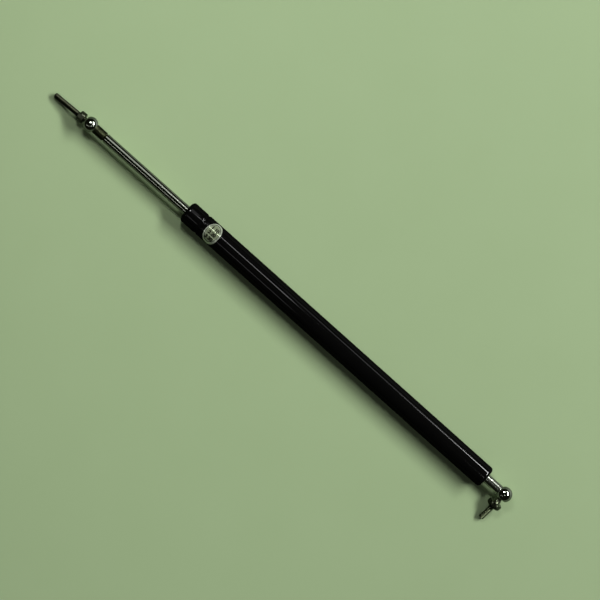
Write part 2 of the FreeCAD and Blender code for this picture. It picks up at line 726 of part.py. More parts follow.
def round_housing(name, reach, bevel, mouth_axis, shank):
    """A round housing with a shank, a pocket for the seat and a rolled lip round its mouth.

    The mouth faces along the sketch axis given, and the shank runs to +X or -X.
    """
    body = new_body(name)
    ahead = shank == "+"
    back = "" if ahead else "-"
    towards = "" if not ahead else "-"
    corners = [
        (f"{towards}housing_r", "0"),
        (f"{back}shank_root", "shank_r", "housing_r", "right" if ahead else "left"),
        (f"{back}({reach} - {bevel})", "shank_r"),
        (f"{back}{reach}", f"shank_r - {bevel}"),
        (f"{back}{reach}", "0"),
    ]
    turned(body, "ball_and_shank", corners)
    round_edge(body, "root", f"{back}shank_root", "shank_r", "shank_fillet")
    turned(body, "pocket", [
        ("-pocket_r", "0"),
        ("0", "pocket_r", "pocket_r", "right"),
        ("sqrt(lip_in_r ^ 2 - pocket_r ^ 2)", "pocket_r"),
        ("sqrt(lip_in_r ^ 2 - mouth_r ^ 2)", "mouth_r", "lip_in_r", "right"),
        ("rim_h - mouth_bevel", "mouth_r"),
        ("rim_h + mouth_bevel", "mouth_r + 2 * mouth_bevel"),
        ("housing_r + mouth_bevel", "mouth_r + 2 * mouth_bevel"),
        ("housing_r + mouth_bevel", "0"),
    ], axis=mouth_axis, cut=True)
    depth = "tenon_length + bore_spare"
    bore = "2 * (tenon_r + fit_gap)"
    round_hole(body, "bore", bore, f"{back}{reach}", depth, forwards=not ahead)
    return body


def seat_cup(end):
    """The lower half of the seat. It fills the round bottom of the pocket."""
    edge = "seat_split / 2"
    body = new_body(f"{end}_seat_cup")
    turned(body, "cup", [
        ("-seat_out_r", "0"),
        (f"-{edge}", f"sqrt(seat_out_r ^ 2 - ({edge}) ^ 2)", "seat_out_r", "right"),
        (f"-{edge}", f"sqrt(seat_in_r ^ 2 - ({edge}) ^ 2)"),
        ("-seat_in_r", "0", "seat_in_r", "left"),
    ])
    return body


def seat_ring(end):
    """The upper half of the seat. It holds the ball in, under the rolled lip."""
    edge = "seat_split / 2"
    lip = "(lip_in_r - seat_gap)"
    top = "seat_ring_height"
    body = new_body(f"{end}_seat_ring")
    turned(body, "ring", [
        (edge, "seat_out_r"),
        (f"sqrt({lip} ^ 2 - seat_out_r ^ 2)", "seat_out_r"),
        (top, f"sqrt({lip} ^ 2 - {top} ^ 2)", lip, "right"),
        (top, f"sqrt(seat_in_r ^ 2 - {top} ^ 2)"),
        (edge, f"sqrt(seat_in_r ^ 2 - ({edge}) ^ 2)", "seat_in_r", "left"),
    ])
    return body


def liner(end):
    """The thin liner between the seat and the ball."""
    body = new_body(f"{end}_liner")
    turned(body, "shell", [
        ("-liner_out_r", "0"),
        ("0", "liner_out_r", "liner_out_r", "right"),
        (
            "liner_out_r * cos(liner_opening)",
            "liner_out_r * sin(liner_opening)",
            "liner_out_r",
            "right",
        ),
        ("liner_in_r * cos(liner_opening)", "liner_in_r * sin(liner_opening)"),
        ("0", "liner_in_r", "liner_in_r", "left"),
        ("-liner_in_r", "0", "liner_in_r", "left"),
    ])
    return body


def ball_stud(end, neck):
    """A ball, its neck, a hexagon and a threaded length, all in one piece.

    neck is the outline from the ball to the thread, which differs between the two studs.
    """
    total = f"{end}_stud_length"
    hex_at = f"{end}_hex_at"
    hex_end = f"{end}_hex_at + {end}_hex_length"
    flats = f"{end}_hex_flats"
    body = new_body(f"{end}_ball_stud")
    turned(body, "ball_and_shaft", [
        ("-ball_r", "0"),
        ("neck_root", "neck_r", "ball_r", "right"),
        *neck,
        (f"{total} - tip_bevel", "thread_r"),
        (total, "thread_r - tip_bevel"),
        (total, "0"),
    ])
    hexagon(body, "hexagon", flats, hex_at, f"{end}_hex_length")
    bevel_hexagon(body, "near_bevel", flats, hex_at, "+")
    bevel_hexagon(body, "far_bevel", flats, f"({hex_end})", "-")
    return body


def base_joint():
    """The right-angle joint. Its mouth and stud face sideways, to +Y."""
    ball = "base_ball_x"
    housing = round_housing("base_joint_housing", "base_reach", "shank_bevel", "V_Axis", "+")
    place(housing, ball)
    for piece in (seat_cup("base"), seat_ring("base")):
        place(piece, ball, yaw="90")
    stud = ball_stud("base", [
        ("base_neck_free", "neck_r"),
        ("base_collar_at", "base_collar_d / 2"),
        ("base_hex_at + base_hex_length / 2", "base_collar_d / 2"),
        ("base_hex_at + base_hex_length / 2", "thread_r"),
    ])
    for piece in (liner("base"), stud):
        place(piece, ball, yaw="90 - base_lean", pitch="base_droop")


def rod_joint():
    """The straight joint. Its mouth and stud face on along the rod, to +X."""
    ball = "rod_ball_x"
    housing = round_housing("rod_joint_housing", "rod_reach", "rod_shank_bevel", "H_Axis", "-")
    place(housing, ball)
    for piece in (seat_cup("rod"), seat_ring("rod")):
        place(piece, ball)
    stud = ball_stud("rod", [
        ("rod_hex_at + rod_hex_length / 2", "neck_r"),
        ("rod_hex_at + rod_hex_length / 2", "thread_r"),
    ])
    for piece in (liner("rod"), stud):
        place(piece, ball, yaw="rod_lean", pitch="rod_droop")


pressure_tube()
tube_label()
end_plug()
plug_o_ring()
backup_washer()
rod_seal()
guide_bush()
rod_wiper()
piston_rod()
stop_washer()
piston()
piston_ring()
throttle_disc()
piston_nut()
base_joint()
rod_joint()
doc.recompute()


# Checks and export

failed = [one.Label for one in doc.Objects if "Invalid" in one.State or "Error" in one.State]
failed += [one.Label for one in parts if one.Shape.isNull() or not one.Shape.isValid()]
if failed:
    raise SystemExit(f"these did not build: {failed}")

os.makedirs("parts", exist_ok=True)
for one in parts:
    one.Shape.exportStep(f"parts/{one.Label}.step")
    print(f"{one.Label}: {len(one.Shape.Solids)} solid, {one.Shape.Volume:.1f} cubic mm")

for name in ("base_ball_x", "rod_ball_x", "tube_x", "axis_y", "axis_z", "base_droop", "rod_droop"):
    print(f"{name} = {value(name):.4f}")
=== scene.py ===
# %% [markdown]
# # A gas spring on a pale green table
#
# A gas spring is a black steel tube full of compressed gas with a chromed rod that slides out of
# it. Here each end carries a ball joint: a round bright housing that holds a threaded ball stud.
# The exact solids come from a CAD model. Blender gives them smooth skins, real threads, a
# sticker, finishes, light and a camera, and never moves them.

# %% Load the frame
import math

import bmesh
import bpy
from mathutils import Matrix, Vector
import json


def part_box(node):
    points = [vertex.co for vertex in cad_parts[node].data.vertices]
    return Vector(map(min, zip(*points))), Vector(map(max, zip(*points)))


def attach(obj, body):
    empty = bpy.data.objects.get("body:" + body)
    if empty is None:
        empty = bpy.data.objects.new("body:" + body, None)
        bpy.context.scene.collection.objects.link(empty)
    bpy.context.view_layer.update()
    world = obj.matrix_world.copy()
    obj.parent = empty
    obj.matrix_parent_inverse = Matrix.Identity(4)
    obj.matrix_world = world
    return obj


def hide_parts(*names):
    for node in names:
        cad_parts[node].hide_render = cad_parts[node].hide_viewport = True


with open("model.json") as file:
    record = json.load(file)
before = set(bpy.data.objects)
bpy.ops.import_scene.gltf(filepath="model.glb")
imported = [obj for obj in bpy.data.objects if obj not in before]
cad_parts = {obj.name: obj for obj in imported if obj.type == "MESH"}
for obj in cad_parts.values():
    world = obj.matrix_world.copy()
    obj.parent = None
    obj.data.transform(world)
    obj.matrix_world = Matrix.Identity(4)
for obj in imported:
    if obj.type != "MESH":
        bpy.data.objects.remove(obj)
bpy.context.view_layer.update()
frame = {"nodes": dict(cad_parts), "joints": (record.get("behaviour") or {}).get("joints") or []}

# %% [markdown]
# ## Where everything is
#
# The joints of the CAD model say where the two balls are and which way the studs point, and the
# boxes of its nodes say how long the tube and the rod are. Reading them here means that no place
# is typed twice. Blender works in metres, but a turner thinks in millimetres, so the shapes below
# are drawn in millimetres and made small when they are put in place.

# %% Read the places
MM = 0.001

joints = {joint["name"]: joint for joint in frame["joints"]}
base_ball = Vector(joints["base_stud_spin"]["pos_m"])
rod_ball = Vector(joints["rod_stud_spin"]["pos_m"])
base_stud_way = Vector(joints["base_stud_spin"]["axis"]).normalized()
rod_stud_way = Vector(joints["rod_stud_spin"]["axis"]).normalized()
along_tube = Vector((1, 0, 0))
base_mouth_way = Vector((0, 1, 0))

tube_low, tube_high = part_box("pressure_tube")
rod_low, rod_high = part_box("piston_rod")
tube_start = Vector((tube_low.x, base_ball.y, base_ball.z))
tube_length = (tube_high.x - tube_low.x) / MM
tube_radius = (tube_high.z - tube_low.z) / 2 / MM
base_reach = (tube_low.x - base_ball.x) / MM
rod_reach = (rod_ball.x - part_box("rod_joint_housing")[0].x) / MM
print(f"tube {tube_length:.1f} mm long, {2 * tube_radius:.1f} mm across")

# %% [markdown]
# ## A lathe
#
# Nearly every piece of a gas spring is turned, so the main helper is a lathe. A pen draws half of
# the piece's outline beside the X axis: straight moves extrude its tip, and round moves spin the
# tip about a centre. Then the whole line is spun about X. The seams are merged and the normals
# made to point outwards, and edges stay crisp only where the outline really turns a corner.


# %% Draw and turn
LATHE_WELD = 0.0005


class Outline:
    """Half of a turned piece, drawn in millimetres as (along the axis, away from it)."""

    def __init__(self, along, away):
        self.bm = bmesh.new()
        self.tip = self.bm.verts.new((along, away, 0))

    def to(self, along, away):
        self.tip = bmesh.ops.extrude_vert_indiv(self.bm, verts=[self.tip])["verts"][0]
        self.tip.co = (along, away, 0)
        return self

    def around(self, along, away, degrees, steps=10):
        """Carries the line round that centre. Positive degrees turn anticlockwise."""
        spun = bmesh.ops.spin(
            self.bm,
            geom=[self.tip],
            cent=(along, away, 0),
            axis=(0, 0, 1),
            angle=math.radians(degrees),
            steps=steps,
        )
        self.tip = next(one for one in spun["geom_last"] if isinstance(one, bmesh.types.BMVert))
        return self

    def turned(self, steps=96):
        """The outline spun all the way round the X axis."""
        bmesh.ops.spin(
            self.bm,
            geom=self.bm.verts[:] + self.bm.edges[:],
            cent=(0, 0, 0),
            axis=(1, 0, 0),
            angle=math.tau,
            steps=steps,
            use_merge=True,
        )
        bmesh.ops.remove_doubles(self.bm, verts=self.bm.verts[:], dist=LATHE_WELD)
        bmesh.ops.recalc_face_normals(self.bm, faces=self.bm.faces[:])
        return self.bm


def placed(start, way):
    """The matrix that lays a piece drawn in millimetres along X so that it starts and points so."""
    turn = way.to_track_quat("X", "Z").to_matrix().to_4x4()
    return Matrix.Translation(start) @ turn @ Matrix.Scale(MM, 4)


def finished(name, bm, matrix, body, nodes, crisp=24):
    """Puts a shape in place as a smooth piece that rides on a body and stands for CAD nodes.

    Edges that turn by more than crisp degrees stay sharp.
    """
    bm.transform(matrix)
    mesh = bpy.data.meshes.new(name)
    bm.to_mesh(mesh)
    bm.free()
    mesh.shade_smooth()
    mesh.set_sharp_from_angle(angle=math.radians(crisp))
    piece = bpy.data.objects.new(name, mesh)
    bpy.context.scene.collection.objects.link(piece)
    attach(piece, body)
    if nodes:
        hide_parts(*nodes)
    print(f"{name}: {len(mesh.polygons)} faces")
    return piece


# %% [markdown]
# ## The tube
#
# The tube is drawn steel. Both ends are rolled inwards, and near the rod end a bead is rolled
# round it. The bead is three arcs that meet smoothly: a shoulder, the bottom that the wheel
# pressed, and a shoulder again. The outline follows the outside from the base end to the rod end
# and comes back along the inside, so the wall has its real thickness.

# %% Turn the tube
TUBE_WALL = 1.5
LIP_BORE_RADIUS = 7.25
BASE_END_CORNER = 3.3
ROD_END_CORNER = 3.8
BEAD_FROM_END = 20.6
BEAD_DEPTH = 0.7
BEAD_WHEEL = 2.0
BEAD_SHOULDER = 3.5
CORNER_STEPS = 12
INSIDE_STEPS = 4
TUBE_STEPS = 128

bead_at = tube_length - BEAD_FROM_END
bead_radii = BEAD_WHEEL + BEAD_SHOULDER
bead_turn = math.degrees(math.acos(1 - BEAD_DEPTH / bead_radii))
bead_half = bead_radii * math.sin(math.radians(bead_turn))
wheel_middle = tube_radius - BEAD_DEPTH + BEAD_WHEEL
shoulder_middle = tube_radius - BEAD_SHOULDER
bore_radius = tube_radius - TUBE_WALL
base_corner_at = tube_radius - BASE_END_CORNER
rod_corner_at = tube_radius - ROD_END_CORNER

tube_outline = Outline(0, LIP_BORE_RADIUS)
tube_outline.to(0, base_corner_at)
tube_outline.around(BASE_END_CORNER, base_corner_at, -90, CORNER_STEPS)
tube_outline.to(bead_at - bead_half, tube_radius)
tube_outline.around(bead_at - bead_half, shoulder_middle, -bead_turn)
tube_outline.around(bead_at, wheel_middle, 2 * bead_turn, CORNER_STEPS)
tube_outline.around(bead_at + bead_half, shoulder_middle, -bead_turn)
tube_outline.to(tube_length - ROD_END_CORNER, tube_radius)
tube_outline.around(tube_length - ROD_END_CORNER, rod_corner_at, -90, CORNER_STEPS)
tube_outline.to(tube_length, LIP_BORE_RADIUS)
tube_outline.to(tube_length - TUBE_WALL, LIP_BORE_RADIUS)
tube_outline.to(tube_length - TUBE_WALL, rod_corner_at)
tube_outline.around(tube_length - ROD_END_CORNER, rod_corner_at, 90)
tube_outline.to(bead_at + bead_half, bore_radius)
tube_outline.around(bead_at + bead_half, shoulder_middle, bead_turn, INSIDE_STEPS)
tube_outline.around(bead_at, wheel_middle, -2 * bead_turn)
tube_outline.around(bead_at - bead_half, shoulder_middle, bead_turn, INSIDE_STEPS)
tube_outline.to(BASE_END_CORNER, bore_radius)
tube_outline.around(BASE_END_CORNER, base_corner_at, 90)
tube_outline.to(TUBE_WALL, LIP_BORE_RADIUS)
tube_outline.to(0, LIP_BORE_RADIUS)
tube = finished(
    "tube_skin",
    tube_outline.turned(TUBE_STEPS),
    placed(tube_start, along_tube),
    "tube",
    ["pressure_tube"],
)

# %% [markdown]
# ## The rod
#
# The rod is ground, polished and plated. Outside it is a plain bar, so all of its beauty is in
# its finish, but its tenons are turned too, because the piece can be lifted out and looked at.

# %% Turn the rod
ROD_RADIUS = 5
ROD_BEVEL = 0.6
TENON_RADIUS = 3
TENON_BEVEL = 0.6

rod_start = Vector((rod_low.x, base_ball.y, base_ball.z))
rod_total = (rod_high.x - rod_low.x) / MM
rod_shoulder = (rod_ball.x - rod_low.x) / MM - rod_reach
piston_shoulder = (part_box("stop_washer")[1].x - rod_low.x) / MM

rod_outline = Outline(0, 0)
rod_outline.to(0, TENON_RADIUS - TENON_BEVEL)
rod_outline.to(TENON_BEVEL, TENON_RADIUS)
rod_outline.to(piston_shoulder, TENON_RADIUS)
rod_outline.to(piston_shoulder, ROD_RADIUS - ROD_BEVEL)
rod_outline.to(piston_shoulder + ROD_BEVEL, ROD_RADIUS)
rod_outline.to(rod_shoulder - ROD_BEVEL, ROD_RADIUS)
rod_outline.to(rod_shoulder, ROD_RADIUS - ROD_BEVEL)
rod_outline.to(rod_shoulder, TENON_RADIUS)
rod_outline.to(rod_total - TENON_BEVEL, TENON_RADIUS)
rod_outline.to(rod_total, TENON_RADIUS - TENON_BEVEL)
rod_outline.to(rod_total, 0)
rod = finished(
    "rod_skin",
    rod_outline.turned(),
    placed(rod_start, along_tube),
    "rod",
    ["piston_rod"],
)

# %% [markdown]
# ## The round heads and their shanks
#
# Each ball joint's housing is a round head on a shank. The head is drawn from its inner pole, out
# through the pocket and the rolled lip to the mouth, and back over the outside to its outer pole.
# The shank is a piece of its own, because its finish differs at the rod end. It starts inside the
# head's wall, flares into the head in a small fillet and ends in a bevel round its threaded bore.

# %% Turn the heads and the shanks
HEAD_RADIUS = 8
POCKET_RADIUS = 6.6
LIP_RADIUS = 6.9
MOUTH_RADIUS = 4.95
MOUTH_BEVEL = 0.3
SHANK_RADIUS = 5
SHANK_FILLET = 0.6
SHANK_ROOT_DEPTH = 0.7
BORE_RADIUS = 3.05
BORE_DEPTH = 10
BASE_SHANK_BEVEL = 0.5
ROD_SHANK_BEVEL = 1.3
POCKET_STEPS = 24
HEAD_STEPS = 64
FILLET_STEPS = 6


def angle_at(away, radius):
    """The angle from the axis at which a circle about the origin is that far away from it."""
    return math.degrees(math.asin(away / radius))


def round_head(name, ball, mouth_way, body, node):
    """A hollow ball with a pocket and a rolled lip, open towards mouth_way."""
    mouth_edge = math.sqrt(HEAD_RADIUS**2 - MOUTH_RADIUS**2)
    rim_radius = MOUTH_RADIUS + MOUTH_BEVEL
    outline = Outline(-POCKET_RADIUS, 0)
    outline.around(0, 0, -90, POCKET_STEPS)
    outline.to(math.sqrt(LIP_RADIUS**2 - POCKET_RADIUS**2), POCKET_RADIUS)
    lip_turn = angle_at(POCKET_RADIUS, LIP_RADIUS) - angle_at(MOUTH_RADIUS, LIP_RADIUS)
    outline.around(0, 0, -lip_turn)
    outline.to(mouth_edge - MOUTH_BEVEL, MOUTH_RADIUS)
    outline.to(math.sqrt(HEAD_RADIUS**2 - rim_radius**2), rim_radius)
    outline.around(0, 0, 180 - angle_at(rim_radius, HEAD_RADIUS), HEAD_STEPS)
    return finished(name, outline.turned(), placed(ball, mouth_way), body, [node])


def shank(name, ball, way, reach, bevel, body, node):
    """A bored round bar that grows out of the head and ends at reach."""
    inside = HEAD_RADIUS - SHANK_ROOT_DEPTH
    fillet_away = SHANK_RADIUS + SHANK_FILLET
    fillet_along = math.sqrt((HEAD_RADIUS + SHANK_FILLET) ** 2 - fillet_away**2)
    meets = HEAD_RADIUS / (HEAD_RADIUS + SHANK_FILLET)
    fillet_turn = math.degrees(math.atan2(fillet_away, fillet_along))
    outline = Outline(inside, 0)
    outline.around(0, 0, angle_at(SHANK_RADIUS, inside))
    outline.to(fillet_along * meets, fillet_away * meets)
    outline.around(fillet_along, fillet_away, fillet_turn, FILLET_STEPS)
    outline.to(fillet_along, SHANK_RADIUS)
    outline.to(reach - bevel, SHANK_RADIUS)
    outline.to(reach, SHANK_RADIUS - bevel)
    outline.to(reach, BORE_RADIUS)
    outline.to(reach - BORE_DEPTH, BORE_RADIUS)
    outline.to(reach - BORE_DEPTH, 0)
    return finished(name, outline.turned(), placed(ball, way), body, [node])


base_head = round_head(
    "base_head", base_ball, base_mouth_way, "tube", "base_joint_housing"
)
base_shank = shank(
    "base_shank",
    base_ball,
    along_tube,
    base_reach,
    BASE_SHANK_BEVEL,
    "tube",
    "base_joint_housing",
)
rod_head = round_head(
    "rod_head", rod_ball, along_tube, "rod", "rod_joint_housing"
)
rod_shank = shank(
    "rod_shank",
    rod_ball,
    -along_tube,
    rod_reach,
    ROD_SHANK_BEVEL,
    "rod",
    "rod_joint_housing",
)

# %% [markdown]
# ## The ball studs
#
# A ball stud is a ball, a thin neck, a hexagon for the spanner and a thread, all in one piece. The
# CAD solid already has the exact ball, neck and hexagon, so a copy of its mesh is merged and
# kept. Only its plain shaft is turned down below the root of the thread. The thread itself is
# one pitch of a 60 degree profile, spun about the axis while it moves along it, clipped to the
# bevel on the tip and cut square at both ends. It starts just inside the hexagon.

# %% Cut the threads
THREAD_RADIUS = 3
THREAD_PITCH = 1.0
TIP_BEVEL = 0.8
THREAD_STEPS = 36
DEPTH_PER_PITCH = 0.5413
ROOT_SHARE = 0.25
FLANK_ANGLE = 30
THREAD_WELD = 0.001
THREAD_SUNK = 0.4
CORE_SHARE = 0.8
CORE_SHORTER = 0.02
SLACK = 0.01
CAD_WELD_METRES = 0.00001
BASE_HEXAGON_END = 17
ROD_HEXAGON_END = 14.8
BASE_STUD_LENGTH = 34
ROD_STUD_LENGTH = 47


def clip_radius(vert, largest):
    """Moves a vertex towards the X axis until it is no further away than that."""
    away = math.hypot(vert.co.y, vert.co.z)
    if away > largest:
        vert.co.y *= largest / away
        vert.co.z *= largest / away


def thread(start, end):
    """A closed, cut thread between two places on the axis."""
    depth = THREAD_PITCH * DEPTH_PER_PITCH
    root = THREAD_RADIUS - depth
    flank = depth * math.tan(math.radians(FLANK_ANGLE))
    rise = start - THREAD_PITCH * (1 - ROOT_SHARE)
    pitch = Outline(start - THREAD_PITCH, root)
    pitch.to(rise, root)
    pitch.to(rise + flank, THREAD_RADIUS)
    pitch.to(start - flank, THREAD_RADIUS)
    pitch.to(start, root)
    bm = pitch.bm
    turns = math.ceil((end - start) / THREAD_PITCH) + 2
    bmesh.ops.spin(
        bm,
        geom=bm.verts[:] + bm.edges[:],
        cent=(0, 0, 0),
        axis=(1, 0, 0),
        dvec=(THREAD_PITCH / THREAD_STEPS, 0, 0),
        angle=math.tau * turns,
        steps=THREAD_STEPS * turns,
    )
    bmesh.ops.remove_doubles(bm, verts=bm.verts[:], dist=THREAD_WELD)
    for vert in bm.verts:
        clip_radius(vert, max(root, THREAD_RADIUS - TIP_BEVEL + end - vert.co.x))
    for place, side in ((start, -1), (end, 1)):
        geom = bm.verts[:] + bm.edges[:] + bm.faces[:]
        cut = bmesh.ops.bisect_plane(
            bm, geom=geom, plane_co=(place, 0, 0), plane_no=(side, 0, 0), clear_outer=True
        )
        rim = [one for one in cut["geom_cut"] if isinstance(one, bmesh.types.BMEdge)]
        bmesh.ops.holes_fill(bm, edges=rim)
    bmesh.ops.recalc_face_normals(bm, faces=bm.faces[:])
    return bm


def ball_stud(name, node, ball, way, hexagon_end, length, body):
    """The CAD's stud with its shaft turned down inside a real thread."""
    bm = bmesh.new()
    bm.from_mesh(frame["nodes"][node].data)
    bmesh.ops.remove_doubles(bm, verts=bm.verts[:], dist=CAD_WELD_METRES)
    bm.transform(placed(ball, way).inverted())
    for vert in bm.verts:
        away = math.hypot(vert.co.y, vert.co.z)
        if vert.co.x > hexagon_end - SLACK and away < THREAD_RADIUS + SLACK:
            clip_radius(vert, THREAD_RADIUS * CORE_SHARE)
        vert.co.x = min(vert.co.x, length - CORE_SHORTER)
    cut_thread = bpy.data.meshes.new(name + "_thread")
    made = thread(hexagon_end - THREAD_SUNK, length)
    made.to_mesh(cut_thread)
    made.free()
    bm.from_mesh(cut_thread)
    bpy.data.meshes.remove(cut_thread)
    return finished(name, bm, placed(ball, way), body, [node], crisp=32)


base_stud = ball_stud(
    "base_stud_cut",
    "base_ball_stud",
    base_ball,
    base_stud_way,
    BASE_HEXAGON_END,
    BASE_STUD_LENGTH,
    "base_stud",
)
rod_stud = ball_stud(
    "rod_stud_cut",
    "rod_ball_stud",
    rod_ball,
    rod_stud_way,
    ROD_HEXAGON_END,
    ROD_STUD_LENGTH,
    "rod_stud",
)

# %% [markdown]
# ## The sticker
#
# A small oval of silver foil is stuck on the tube near the bead. It starts as a flat disc of
# rings, is squared a little on one side, stretched to its real size and then wrapped round the
# tube. Its printing is generic: three rows of plain numbers, made as text, turned into meshes,
# cut into narrow bands so that they can bend, and wrapped round the tube a hair above the foil.

# %% Cut and wrap the sticker
STICKER_FROM_END = 34.5
STICKER_LENGTH = 16.5
STICKER_WIDTH = 21.8
STICKER_LIFT = 0.11
STICKER_TURN = 3.8
INK_LIFT = 0.14
RINGS = 20
RIM_STEPS = 96
ROUND_SIDE = 2.0
SQUARE_SIDE = 2.6
NEAR_SIDE = 0.99
DISC_WELD = 0.0001

sticker_at = tube_start + along_tube * (tube_length - STICKER_FROM_END) * MM
sticker_lean = Matrix.Rotation(math.radians(-STICKER_TURN), 4, "X")
sticker_place = Matrix.Translation(sticker_at) @ sticker_lean @ Matrix.Scale(MM, 4)


def wrap(bm, lift):
    """Lays a flat mesh in the XY plane on the tube, seen straight from above."""
    radius = tube_radius + lift
    for vert in bm.verts:
        across = max(-radius * NEAR_SIDE, min(radius * NEAR_SIDE, vert.co.y))
        vert.co.z += math.sqrt(radius**2 - across**2)


foil = bmesh.new()
bmesh.ops.create_circle(foil, cap_ends=False, radius=1, segments=RIM_STEPS)
rim = foil.edges[:]
for ring in range(RINGS):
    spread = bmesh.ops.extrude_edge_only(foil, edges=rim)["geom"]
    shrink = (RINGS - ring - 1) / (RINGS - ring)
    inner = [one for one in spread if isinstance(one, bmesh.types.BMVert)]
    bmesh.ops.scale(foil, vec=(shrink, shrink, 1), verts=inner)
    rim = [one for one in spread if isinstance(one, bmesh.types.BMEdge)]
bmesh.ops.remove_doubles(foil, verts=foil.verts[:], dist=DISC_WELD)
for vert in foil.verts:
    away = vert.co.length
    if away > 0:
        power = ROUND_SIDE if vert.co.x > 0 else SQUARE_SIDE
        squared = abs(vert.co.x / away) ** power + abs(vert.co.y / away) ** power
        vert.co *= squared ** (-1 / power)
bmesh.ops.scale(foil, vec=(STICKER_LENGTH / 2, STICKER_WIDTH / 2, 1), verts=foil.verts[:])
wrap(foil, STICKER_LIFT)
bmesh.ops.recalc_face_normals(foil, faces=foil.faces[:])
sticker = finished("sticker", foil, sticker_place, "tube", ["tube_label"], crisp=60)

# %% Print plain numbers on it
NUMBERS = (("1", "10"), ("2", "20"), ("3", "30"))
ROW_SPACING = 5.1
FIRST_COLUMN = 3.1
SECOND_COLUMN = -1.9
DIGIT_SIZE = 4.8
DIGIT_BOLDNESS = 0.3
INK_THICKNESS = 0.02
INK_WELD = 0.001
WRAP_STEP = 0.4


def flat_text(words, size, along, across):
    """Words as a thin closed mesh that reads towards the base end of the tube."""
    curve = bpy.data.curves.new("words", "FONT")
    curve.body = words
    curve.size = size
    curve.extrude = INK_THICKNESS / 2
    curve.offset = DIGIT_BOLDNESS
    curve.align_x = "CENTER"
    curve.align_y = "CENTER"
    written = bpy.data.objects.new("words", curve)
    mesh = bpy.data.meshes.new_from_object(written)
    mesh.transform(Matrix.Translation((along, across, 0)) @ Matrix.Rotation(math.pi, 4, "Z"))
    bpy.data.objects.remove(written)
    return mesh


ink = bmesh.new()
for row, words in enumerate(NUMBERS):
    for text, column in zip(words, (FIRST_COLUMN, SECOND_COLUMN)):
        printed = flat_text(text, DIGIT_SIZE, column, (row - 1) * ROW_SPACING)
        ink.from_mesh(printed)
        bpy.data.meshes.remove(printed)
bmesh.ops.remove_doubles(ink, verts=ink.verts[:], dist=INK_WELD)
steps = round(STICKER_WIDTH / WRAP_STEP)
for step in range(steps):
    across = (step - steps / 2) * WRAP_STEP
    geom = ink.verts[:] + ink.edges[:] + ink.faces[:]
    bmesh.ops.bisect_plane(ink, geom=geom, plane_co=(0, across, 0), plane_no=(0, 1, 0))
wrap(ink, INK_LIFT)
numbers = finished("sticker_numbers", ink, sticker_place, "tube", [], crisp=40)

# %% [markdown]
# ## The finishes
#
# A finish is written as sums. The small class below wraps a node's output, so that masks and
# strengths can be added and multiplied like numbers, and every sum becomes a Math node. All
# patterns read the object's own coordinates, so they stay on the piece when it moves. Their
# sizes and depths are in metres.


# %% Write shader sums as sums
class Sum:
    """A number that changes over a surface."""

    def __init__(self, shader, socket):
        self.shader = shader
        self.socket = socket

    def math(self, operation, *others):
        inputs = dict(enumerate([self, *others]))
        return self.shader.node("Math", {"operation": operation}, inputs)

    def __add__(self, other):
        return self.math("ADD", other)

    __radd__ = __add__

    def __sub__(self, other):
        return self.math("SUBTRACT", other)

    def __rsub__(self, other):
        return self.math("MULTIPLY", -1) + other

    def __mul__(self, other):
        return self.math("MULTIPLY", other)

    __rmul__ = __mul__

    def between(self, low, high, out_low=0.0, out_high=1.0):
        """Carries the range low to high over to another range, smoothly and no further."""
        settings = {"interpolation_type": "SMOOTHSTEP"}
        inputs = {"Value": self, 1: low, 2: high, 3: out_low, 4: out_high}
        return self.shader.node("MapRange", settings, inputs)


class Finish:
    """A material, its Principled shader and the nodes that feed it."""

    def __init__(self, name, **values):
        self.material = bpy.data.materials.new(name)
        self.material.use_nodes = True
        self.tree = self.material.node_tree
        self.main = self.tree.nodes["Principled BSDF"]
        self.place = self.tree.nodes.new("ShaderNodeTexCoord").outputs["Object"]
        for socket, value in values.items():
            self.main.inputs[socket.replace("_", " ")].default_value = value

    def node(self, kind, settings=None, inputs=None, output=0):
        """Any node: its settings first, then what goes into its sockets."""
        made = self.tree.nodes.new("ShaderNode" + kind)
        for name, value in (settings or {}).items():
            setattr(made, name, value)
        for name, value in (inputs or {}).items():
            if isinstance(value, Sum):
                self.tree.links.new(value.socket, made.inputs[name])
            elif isinstance(value, bpy.types.NodeSocket):
                self.tree.links.new(value, made.inputs[name])
            else:
                made.inputs[name].default_value = value
        return Sum(self, made.outputs[output])

    def feed(self, socket, value):
        """Links a pattern to a socket of the Principled shader."""
        self.tree.links.new(value.socket, self.main.inputs[socket])
        return self

    def stretched(self, scale, centre=(0, 0, 0)):
        """The object's coordinates, centred and scaled."""
        inputs = {"Vector": self.place, "Location": centre}
        moved = self.node("Mapping", {"vector_type": "TEXTURE"}, inputs)
        inputs = {"Vector": moved, "Scale": scale}
        return self.node("Mapping", {"vector_type": "POINT"}, inputs)

    def noise(self, where, size, detail=2.0, roughness=0.5):
        """Soft spots of about that size in metres."""
        inputs = {"Vector": where, "Scale": 1 / size, "Detail": detail, "Roughness": roughness}
        return self.node("TexNoise", None, inputs)

    def blend(self, amount, low, high):
        """A colour between two others."""
        made = self.tree.nodes.new("ShaderNodeMix")
        made.data_type = "RGBA"
        self.tree.links.new(amount.socket, made.inputs["Factor"])
        for socket, colour in ((made.inputs[6], low), (made.inputs[7], high)):
            if isinstance(colour, Sum):
                self.tree.links.new(colour.socket, socket)
            else:
                socket.default_value = (*colour, 1)
        return Sum(self, made.outputs[2])

    def bump(self, height, depth, strength=1.0):
        """Raises the surface by height times depth, in metres."""
        inputs = {"Height": height, "Distance": depth, "Strength": strength}
        return self.feed("Normal", self.node("Bump", None, inputs))

    def on(self, *pieces):
        """Gives the finish to pieces, in place of what they have."""
        for piece in pieces:
            piece.data.materials.clear()
            piece.data.materials.append(self.material)
        return self


